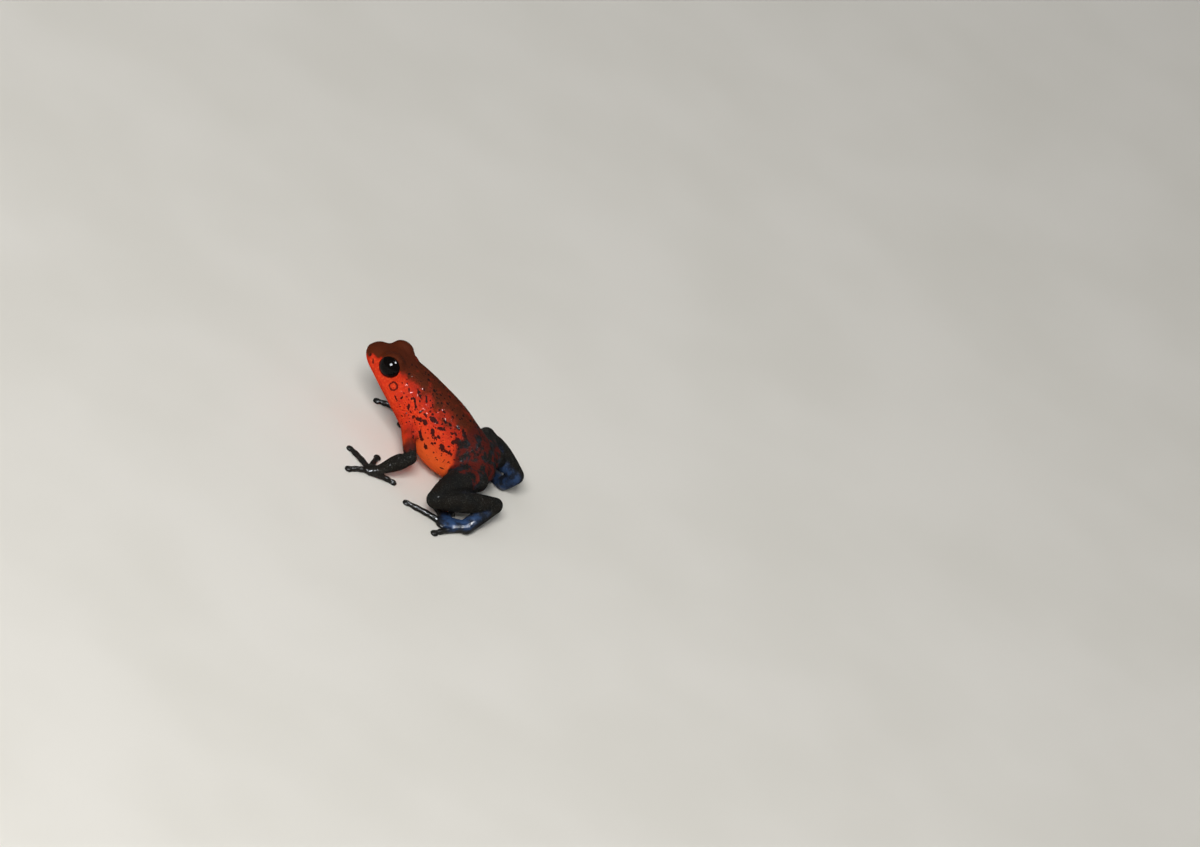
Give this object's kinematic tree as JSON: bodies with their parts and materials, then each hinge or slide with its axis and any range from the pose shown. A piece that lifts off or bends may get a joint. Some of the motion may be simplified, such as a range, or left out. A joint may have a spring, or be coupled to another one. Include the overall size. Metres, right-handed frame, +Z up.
{
  "type": "strawberry poison dart frog",
  "caption": "Small poison dart frog sitting alert with its chest raised, red speckled body and dark blue-black limbs, life size.",
  "frame": {"origin": "middle of the whole frog's box seen from above, on the ground that its hands and feet rest on", "axes": "+Z up, the frog faces -Y, and its left side is towards +X"},
  "size_m": [0.024, 0.0244, 0.0123],
  "materials": {
    "red_skin": "moist red skin with black specks",
    "dark_skin": "moist, finely granular blue-black skin",
    "eye": "wet black eye"
  },
  "bodies": {
    "root": {"head": "red_skin", "torso": "red_skin", "upper_arm_left": "red_skin", "upper_arm_right": "red_skin", "forearm_left": "dark_skin", "forearm_right": "dark_skin", "hand_left": "dark_skin", "hand_right": "dark_skin", "thigh_left": "dark_skin", "thigh_right": "dark_skin", "shank_left": "dark_skin", "shank_right": "dark_skin", "tarsus_left": "dark_skin", "tarsus_right": "dark_skin", "foot_left": "dark_skin", "foot_right": "dark_skin", "eye_left": "eye", "eye_right": "eye"}
  },
  "joints": []
}
